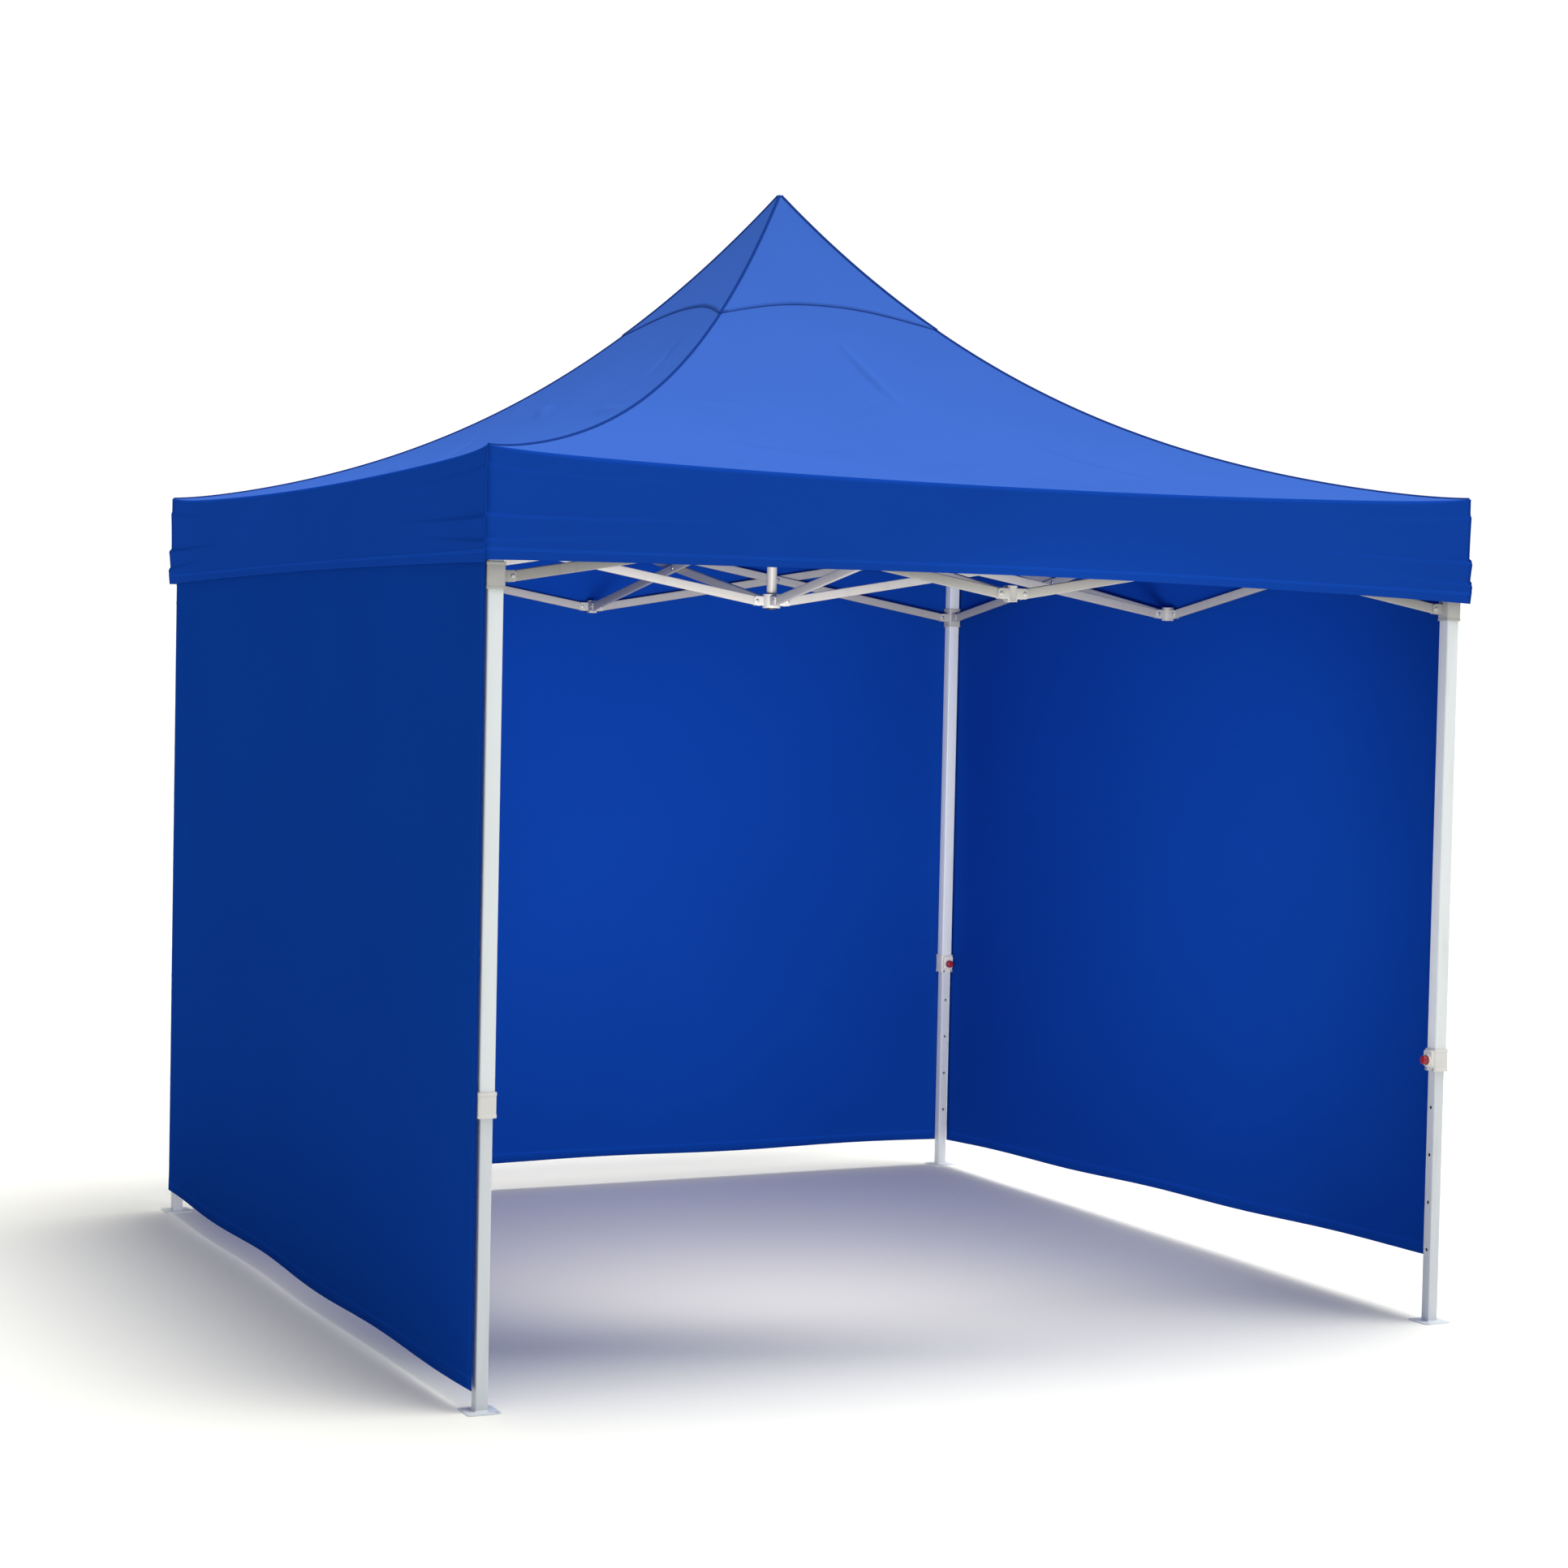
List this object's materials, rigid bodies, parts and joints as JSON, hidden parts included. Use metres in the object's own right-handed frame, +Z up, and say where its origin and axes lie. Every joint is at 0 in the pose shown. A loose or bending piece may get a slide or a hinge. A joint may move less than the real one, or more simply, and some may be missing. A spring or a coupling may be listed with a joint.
{
  "type": "pop up canopy",
  "caption": "Square pop-up canopy with a peaked cloth roof, a valance, walls on three sides, and a folding frame of telescoping legs and scissor trusses.",
  "frame": {"origin": "on the ground, under the roof's peak", "axes": "+Z up, -Y towards the open front, +X to the right of someone facing the open front from outside"},
  "size_m": [3.05, 3.05, 3.3468],
  "materials": {
    "leg_paint": "satin",
    "bar_paint": "satin",
    "inner_leg_metal": "satin",
    "grey_plastic": "matte",
    "dark_plastic": "matte",
    "red_plastic": "satin",
    "roof_cloth": "matte",
    "wall_cloth": "matte"
  },
  "bodies": {
    "upper_hub": {"upper_hub": "grey_plastic"},
    "spoke_falling_right": {"spoke_falling_right": "bar_paint"},
    "spoke_climbing_right": {"spoke_climbing_right": "bar_paint"},
    "bottom_mid_right": {"bottom_mid_right": "grey_plastic"},
    "side_climbing_right_1": {"side_climbing_right_1": "bar_paint"},
    "side_climbing_right_2": {"side_climbing_right_2": "bar_paint"},
    "side_falling_right_1": {"side_falling_right_1": "bar_paint"},
    "side_falling_right_2": {"side_falling_right_2": "bar_paint"},
    "outer_leg_back_right": {"outer_leg_back_right": "leg_paint"},
    "inner_leg_back_right": {"inner_leg_back_right": "inner_leg_metal"},
    "slider_back_right": {"slider_back_right": "grey_plastic"},
    "lock_button_back_right": {"lock_button_back_right": "red_plastic"},
    "top_mid_right": {"top_mid_right": "grey_plastic", "wall_right": "wall_cloth"},
    "roof_panel_right": {"roof_panel_right": "roof_cloth"},
    "spoke_falling_back": {"spoke_falling_back": "bar_paint"},
    "spoke_climbing_back": {"spoke_climbing_back": "bar_paint"},
    "bottom_mid_back": {"bottom_mid_back": "grey_plastic"},
    "side_climbing_back_1": {"side_climbing_back_1": "bar_paint"},
    "side_climbing_back_2": {"side_climbing_back_2": "bar_paint"},
    "side_falling_back_1": {"side_falling_back_1": "bar_paint"},
    "side_falling_back_2": {"side_falling_back_2": "bar_paint"},
    "outer_leg_back_left": {"outer_leg_back_left": "leg_paint"},
    "inner_leg_back_left": {"inner_leg_back_left": "inner_leg_metal"},
    "slider_back_left": {"slider_back_left": "grey_plastic"},
    "lock_button_back_left": {"lock_button_back_left": "red_plastic"},
    "top_mid_back": {"top_mid_back": "grey_plastic", "wall_back": "wall_cloth"},
    "roof_panel_back": {"roof_panel_back": "roof_cloth"},
    "spoke_falling_left": {"spoke_falling_left": "bar_paint"},
    "spoke_climbing_left": {"spoke_climbing_left": "bar_paint"},
    "bottom_mid_left": {"bottom_mid_left": "grey_plastic"},
    "side_climbing_left_1": {"side_climbing_left_1": "bar_paint"},
    "side_climbing_left_2": {"side_climbing_left_2": "bar_paint"},
    "side_falling_left_1": {"side_falling_left_1": "bar_paint"},
    "side_falling_left_2": {"side_falling_left_2": "bar_paint"},
    "outer_leg_front_left": {"outer_leg_front_left": "leg_paint"},
    "inner_leg_front_left": {"inner_leg_front_left": "inner_leg_metal"},
    "slider_front_left": {"slider_front_left": "grey_plastic"},
    "lock_button_front_left": {"lock_button_front_left": "red_plastic"},
    "top_mid_left": {"top_mid_left": "grey_plastic", "wall_left": "wall_cloth"},
    "roof_panel_left": {"roof_panel_left": "roof_cloth"},
    "spoke_falling_front": {"spoke_falling_front": "bar_paint"},
    "spoke_climbing_front": {"spoke_climbing_front": "bar_paint"},
    "bottom_mid_front": {"bottom_mid_front": "grey_plastic"},
    "side_climbing_front_1": {"side_climbing_front_1": "bar_paint"},
    "side_climbing_front_2": {"side_climbing_front_2": "bar_paint"},
    "side_falling_front_1": {"side_falling_front_1": "bar_paint"},
    "side_falling_front_2": {"side_falling_front_2": "bar_paint"},
    "outer_leg_front_right": {"outer_leg_front_right": "leg_paint"},
    "inner_leg_front_right": {"inner_leg_front_right": "inner_leg_metal"},
    "slider_front_right": {"slider_front_right": "grey_plastic"},
    "lock_button_front_right": {"lock_button_front_right": "red_plastic"},
    "top_mid_front": {"top_mid_front": "grey_plastic", "valance_front": "roof_cloth"},
    "roof_panel_front": {"roof_panel_front": "roof_cloth"},
    "lower_hub": {"lower_hub": "grey_plastic"},
    "king_post": {"king_post": "leg_paint", "peak_cap": "dark_plastic"}
  },
  "joints": [
    {"name": "fold", "type": "hinge", "parent": "upper_hub", "child": "spoke_falling_right", "pos_m": [0.0503, 0, 2.33], "axis": [0, 1, 0], "range_deg": [0, 76]},
    {"name": "bottom_mid_turns_right", "type": "hinge", "parent": "spoke_falling_right", "child": "bottom_mid_right", "pos_m": [1.4432, 0, 2.09], "axis": [0, 1, 0], "range_deg": [-76, 0]},
    {"name": "side_climbs_right_1", "type": "hinge", "parent": "bottom_mid_right", "child": "side_climbing_right_1", "pos_m": [1.48, 0.0368, 2.09], "axis": [1, 0, 0], "range_deg": [0, 76]},
    {"name": "side_climbs_right_2", "type": "hinge", "parent": "bottom_mid_right", "child": "side_climbing_right_2", "pos_m": [1.48, -0.0368, 2.09], "axis": [-1, 0, 0], "range_deg": [0, 76]},
    {"name": "leg_turns_back_right", "type": "hinge", "parent": "side_climbing_right_1", "child": "outer_leg_back_right", "pos_m": [1.48, 1.4297, 2.33], "axis": [1, 0, 0], "range_deg": [-76, 0]},
    {"name": "spoke_crosses_right", "type": "hinge", "parent": "spoke_falling_right", "child": "spoke_climbing_right", "pos_m": [0.74675, 0, 2.21], "axis": [0, 1, 0], "range_deg": [-152, 0]},
    {"name": "top_mid_turns_right", "type": "hinge", "parent": "spoke_climbing_right", "child": "top_mid_right", "pos_m": [1.4432, 0, 2.33], "axis": [0, 1, 0], "range_deg": [0, 76], "deforming": ["wall_right"]},
    {"name": "side_falls_right_1", "type": "hinge", "parent": "top_mid_right", "child": "side_falling_right_1", "pos_m": [1.48, 0.0368, 2.33], "axis": [-1, 0, 0], "range_deg": [0, 76]},
    {"name": "side_falls_right_2", "type": "hinge", "parent": "top_mid_right", "child": "side_falling_right_2", "pos_m": [1.48, -0.0368, 2.33], "axis": [1, 0, 0], "range_deg": [0, 76]},
    {"name": "slider_turns_back_right", "type": "hinge", "parent": "side_falling_right_1", "child": "slider_back_right", "pos_m": [1.48, 1.4297, 2.09], "axis": [1, 0, 0], "range_deg": [0, 76]},
    {"name": "roof_hangs_right", "type": "hinge", "parent": "top_mid_right", "child": "roof_panel_right", "pos_m": [1.516, 0, 2.4], "axis": [0, -1, 0], "range_deg": [0, 122.36], "deforming": ["roof_panel_right"]},
    {"name": "leg_height_back_right", "type": "slide", "parent": "outer_leg_back_right", "child": "inner_leg_back_right", "axis": [0, 0, 1], "range_m": [0, 0.62]},
    {"name": "lock_press_back_right", "type": "slide", "parent": "outer_leg_back_right", "child": "lock_button_back_right", "axis": [0, 1, 0], "range_m": [0, 0.004], "stiffness_N_per_m": 1200},
    {"name": "spoke_falls_back", "type": "hinge", "parent": "upper_hub", "child": "spoke_falling_back", "pos_m": [0, 0.0503, 2.33], "axis": [-1, 0, 0], "range_deg": [0, 76]},
    {"name": "bottom_mid_turns_back", "type": "hinge", "parent": "spoke_falling_back", "child": "bottom_mid_back", "pos_m": [0, 1.4432, 2.09], "axis": [-1, 0, 0], "range_deg": [-76, 0]},
    {"name": "side_climbs_back_1", "type": "hinge", "parent": "bottom_mid_back", "child": "side_climbing_back_1", "pos_m": [-0.0368, 1.48, 2.09], "axis": [0, 1, 0], "range_deg": [0, 76]},
    {"name": "side_climbs_back_2", "type": "hinge", "parent": "bottom_mid_back", "child": "side_climbing_back_2", "pos_m": [0.0368, 1.48, 2.09], "axis": [0, -1, 0], "range_deg": [0, 76]},
    {"name": "leg_turns_back_left", "type": "hinge", "parent": "side_climbing_back_1", "child": "outer_leg_back_left", "pos_m": [-1.4297, 1.48, 2.33], "axis": [0, 1, 0], "range_deg": [-76, 0]},
    {"name": "spoke_crosses_back", "type": "hinge", "parent": "spoke_falling_back", "child": "spoke_climbing_back", "pos_m": [0, 0.74675, 2.21], "axis": [-1, 0, 0], "range_deg": [-152, 0]},
    {"name": "top_mid_turns_back", "type": "hinge", "parent": "spoke_climbing_back", "child": "top_mid_back", "pos_m": [0, 1.4432, 2.33], "axis": [-1, 0, 0], "range_deg": [0, 76], "deforming": ["wall_back"]},
    {"name": "side_falls_back_1", "type": "hinge", "parent": "top_mid_back", "child": "side_falling_back_1", "pos_m": [-0.0368, 1.48, 2.33], "axis": [0, -1, 0], "range_deg": [0, 76]},
    {"name": "side_falls_back_2", "type": "hinge", "parent": "top_mid_back", "child": "side_falling_back_2", "pos_m": [0.0368, 1.48, 2.33], "axis": [0, 1, 0], "range_deg": [0, 76]},
    {"name": "slider_turns_back_left", "type": "hinge", "parent": "side_falling_back_1", "child": "slider_back_left", "pos_m": [-1.4297, 1.48, 2.09], "axis": [0, 1, 0], "range_deg": [0, 76]},
    {"name": "roof_hangs_back", "type": "hinge", "parent": "top_mid_back", "child": "roof_panel_back", "pos_m": [0, 1.516, 2.4], "axis": [1, 0, 0], "range_deg": [0, 122.36], "deforming": ["roof_panel_back"]},
    {"name": "leg_height_back_left", "type": "slide", "parent": "outer_leg_back_left", "child": "inner_leg_back_left", "axis": [0, 0, 1], "range_m": [0, 0.62]},
    {"name": "lock_press_back_left", "type": "slide", "parent": "outer_leg_back_left", "child": "lock_button_back_left", "axis": [-1, 0, 0], "range_m": [0, 0.004], "stiffness_N_per_m": 1200},
    {"name": "spoke_falls_left", "type": "hinge", "parent": "upper_hub", "child": "spoke_falling_left", "pos_m": [-0.0503, 0, 2.33], "axis": [0, -1, 0], "range_deg": [0, 76]},
    {"name": "bottom_mid_turns_left", "type": "hinge", "parent": "spoke_falling_left", "child": "bottom_mid_left", "pos_m": [-1.4432, 0, 2.09], "axis": [0, -1, 0], "range_deg": [-76, 0]},
    {"name": "side_climbs_left_1", "type": "hinge", "parent": "bottom_mid_left", "child": "side_climbing_left_1", "pos_m": [-1.48, -0.0368, 2.09], "axis": [-1, 0, 0], "range_deg": [0, 76]},
    {"name": "side_climbs_left_2", "type": "hinge", "parent": "bottom_mid_left", "child": "side_climbing_left_2", "pos_m": [-1.48, 0.0368, 2.09], "axis": [1, 0, 0], "range_deg": [0, 76]},
    {"name": "leg_turns_front_left", "type": "hinge", "parent": "side_climbing_left_1", "child": "outer_leg_front_left", "pos_m": [-1.48, -1.4297, 2.33], "axis": [-1, 0, 0], "range_deg": [-76, 0]},
    {"name": "spoke_crosses_left", "type": "hinge", "parent": "spoke_falling_left", "child": "spoke_climbing_left", "pos_m": [-0.74675, 0, 2.21], "axis": [0, -1, 0], "range_deg": [-152, 0]},
    {"name": "top_mid_turns_left", "type": "hinge", "parent": "spoke_climbing_left", "child": "top_mid_left", "pos_m": [-1.4432, 0, 2.33], "axis": [0, -1, 0], "range_deg": [0, 76], "deforming": ["wall_left"]},
    {"name": "side_falls_left_1", "type": "hinge", "parent": "top_mid_left", "child": "side_falling_left_1", "pos_m": [-1.48, -0.0368, 2.33], "axis": [1, 0, 0], "range_deg": [0, 76]},
    {"name": "side_falls_left_2", "type": "hinge", "parent": "top_mid_left", "child": "side_falling_left_2", "pos_m": [-1.48, 0.0368, 2.33], "axis": [-1, 0, 0], "range_deg": [0, 76]},
    {"name": "slider_turns_front_left", "type": "hinge", "parent": "side_falling_left_1", "child": "slider_front_left", "pos_m": [-1.48, -1.4297, 2.09], "axis": [-1, 0, 0], "range_deg": [0, 76]},
    {"name": "roof_hangs_left", "type": "hinge", "parent": "top_mid_left", "child": "roof_panel_left", "pos_m": [-1.516, 0, 2.4], "axis": [0, 1, 0], "range_deg": [0, 122.36], "deforming": ["roof_panel_left"]},
    {"name": "leg_height_front_left", "type": "slide", "parent": "outer_leg_front_left", "child": "inner_leg_front_left", "axis": [0, 0, 1], "range_m": [0, 0.62]},
    {"name": "lock_press_front_left", "type": "slide", "parent": "outer_leg_front_left", "child": "lock_button_front_left", "axis": [0, -1, 0], "range_m": [0, 0.004], "stiffness_N_per_m": 1200},
    {"name": "spoke_falls_front", "type": "hinge", "parent": "upper_hub", "child": "spoke_falling_front", "pos_m": [0, -0.0503, 2.33], "axis": [1, 0, 0], "range_deg": [0, 76]},
    {"name": "bottom_mid_turns_front", "type": "hinge", "parent": "spoke_falling_front", "child": "bottom_mid_front", "pos_m": [0, -1.4432, 2.09], "axis": [1, 0, 0], "range_deg": [-76, 0]},
    {"name": "side_climbs_front_1", "type": "hinge", "parent": "bottom_mid_front", "child": "side_climbing_front_1", "pos_m": [0.0368, -1.48, 2.09], "axis": [0, -1, 0], "range_deg": [0, 76]},
    {"name": "side_climbs_front_2", "type": "hinge", "parent": "bottom_mid_front", "child": "side_climbing_front_2", "pos_m": [-0.0368, -1.48, 2.09], "axis": [0, 1, 0], "range_deg": [0, 76]},
    {"name": "leg_turns_front_right", "type": "hinge", "parent": "side_climbing_front_1", "child": "outer_leg_front_right", "pos_m": [1.4297, -1.48, 2.33], "axis": [0, -1, 0], "range_deg": [-76, 0]},
    {"name": "spoke_crosses_front", "type": "hinge", "parent": "spoke_falling_front", "child": "spoke_climbing_front", "pos_m": [0, -0.74675, 2.21], "axis": [1, 0, 0], "range_deg": [-152, 0]},
    {"name": "top_mid_turns_front", "type": "hinge", "parent": "spoke_climbing_front", "child": "top_mid_front", "pos_m": [0, -1.4432, 2.33], "axis": [1, 0, 0], "range_deg": [0, 76], "deforming": ["valance_front"]},
    {"name": "side_falls_front_1", "type": "hinge", "parent": "top_mid_front", "child": "side_falling_front_1", "pos_m": [0.0368, -1.48, 2.33], "axis": [0, 1, 0], "range_deg": [0, 76]},
    {"name": "side_falls_front_2", "type": "hinge", "parent": "top_mid_front", "child": "side_falling_front_2", "pos_m": [-0.0368, -1.48, 2.33], "axis": [0, -1, 0], "range_deg": [0, 76]},
    {"name": "slider_turns_front_right", "type": "hinge", "parent": "side_falling_front_1", "child": "slider_front_right", "pos_m": [1.4297, -1.48, 2.09], "axis": [0, -1, 0], "range_deg": [0, 76]},
    {"name": "roof_hangs_front", "type": "hinge", "parent": "top_mid_front", "child": "roof_panel_front", "pos_m": [0, -1.516, 2.4], "axis": [-1, 0, 0], "range_deg": [0, 122.36], "deforming": ["roof_panel_front"]},
    {"name": "leg_height_front_right", "type": "slide", "parent": "outer_leg_front_right", "child": "inner_leg_front_right", "axis": [0, 0, 1], "range_m": [0, 0.62]},
    {"name": "lock_press_front_right", "type": "slide", "parent": "outer_leg_front_right", "child": "lock_button_front_right", "axis": [1, 0, 0], "range_m": [0, 0.004], "stiffness_N_per_m": 1200},
    {"name": "lower_hub_turns", "type": "hinge", "parent": "spoke_climbing_right", "child": "lower_hub", "pos_m": [0.0503, 0, 2.09], "axis": [0, 1, 0], "range_deg": [0, 76]},
    {"name": "post_drops", "type": "slide", "parent": "upper_hub", "child": "king_post", "axis": [0, 0, -1], "range_m": [0, 0.62344]}
  ],
  "couplings": [
    {"joint": "bottom_mid_turns_right", "follows": "fold", "ratio": -1},
    {"joint": "side_climbs_right_1", "follows": "fold", "ratio": 1},
    {"joint": "side_climbs_right_2", "follows": "fold", "ratio": 1},
    {"joint": "leg_turns_back_right", "follows": "fold", "ratio": -1},
    {"joint": "spoke_crosses_right", "follows": "fold", "ratio": -2},
    {"joint": "top_mid_turns_right", "follows": "fold", "ratio": 1},
    {"joint": "side_falls_right_1", "follows": "fold", "ratio": 1},
    {"joint": "side_falls_right_2", "follows": "fold", "ratio": 1},
    {"joint": "slider_turns_back_right", "follows": "fold", "ratio": 1},
    {"joint": "roof_hangs_right", "follows": "fold", "ratio": 1.61},
    {"joint": "spoke_falls_back", "follows": "fold", "ratio": 1},
    {"joint": "bottom_mid_turns_back", "follows": "fold", "ratio": -1},
    {"joint": "side_climbs_back_1", "follows": "fold", "ratio": 1},
    {"joint": "side_climbs_back_2", "follows": "fold", "ratio": 1},
    {"joint": "leg_turns_back_left", "follows": "fold", "ratio": -1},
    {"joint": "spoke_crosses_back", "follows": "fold", "ratio": -2},
    {"joint": "top_mid_turns_back", "follows": "fold", "ratio": 1},
    {"joint": "side_falls_back_1", "follows": "fold", "ratio": 1},
    {"joint": "side_falls_back_2", "follows": "fold", "ratio": 1},
    {"joint": "slider_turns_back_left", "follows": "fold", "ratio": 1},
    {"joint": "roof_hangs_back", "follows": "fold", "ratio": 1.61},
    {"joint": "spoke_falls_left", "follows": "fold", "ratio": 1},
    {"joint": "bottom_mid_turns_left", "follows": "fold", "ratio": -1},
    {"joint": "side_climbs_left_1", "follows": "fold", "ratio": 1},
    {"joint": "side_climbs_left_2", "follows": "fold", "ratio": 1},
    {"joint": "leg_turns_front_left", "follows": "fold", "ratio": -1},
    {"joint": "spoke_crosses_left", "follows": "fold", "ratio": -2},
    {"joint": "top_mid_turns_left", "follows": "fold", "ratio": 1},
    {"joint": "side_falls_left_1", "follows": "fold", "ratio": 1},
    {"joint": "side_falls_left_2", "follows": "fold", "ratio": 1},
    {"joint": "slider_turns_front_left", "follows": "fold", "ratio": 1},
    {"joint": "roof_hangs_left", "follows": "fold", "ratio": 1.61},
    {"joint": "spoke_falls_front", "follows": "fold", "ratio": 1},
    {"joint": "bottom_mid_turns_front", "follows": "fold", "ratio": -1},
    {"joint": "side_climbs_front_1", "follows": "fold", "ratio": 1},
    {"joint": "side_climbs_front_2", "follows": "fold", "ratio": 1},
    {"joint": "leg_turns_front_right", "follows": "fold", "ratio": -1},
    {"joint": "spoke_crosses_front", "follows": "fold", "ratio": -2},
    {"joint": "top_mid_turns_front", "follows": "fold", "ratio": 1},
    {"joint": "side_falls_front_1", "follows": "fold", "ratio": 1},
    {"joint": "side_falls_front_2", "follows": "fold", "ratio": 1},
    {"joint": "slider_turns_front_right", "follows": "fold", "ratio": 1},
    {"joint": "roof_hangs_front", "follows": "fold", "ratio": 1.61},
    {"joint": "lower_hub_turns", "follows": "fold", "ratio": 1},
    {"joint": "post_drops", "follows": "fold", "m_per_rad": 0.47}
  ]
}
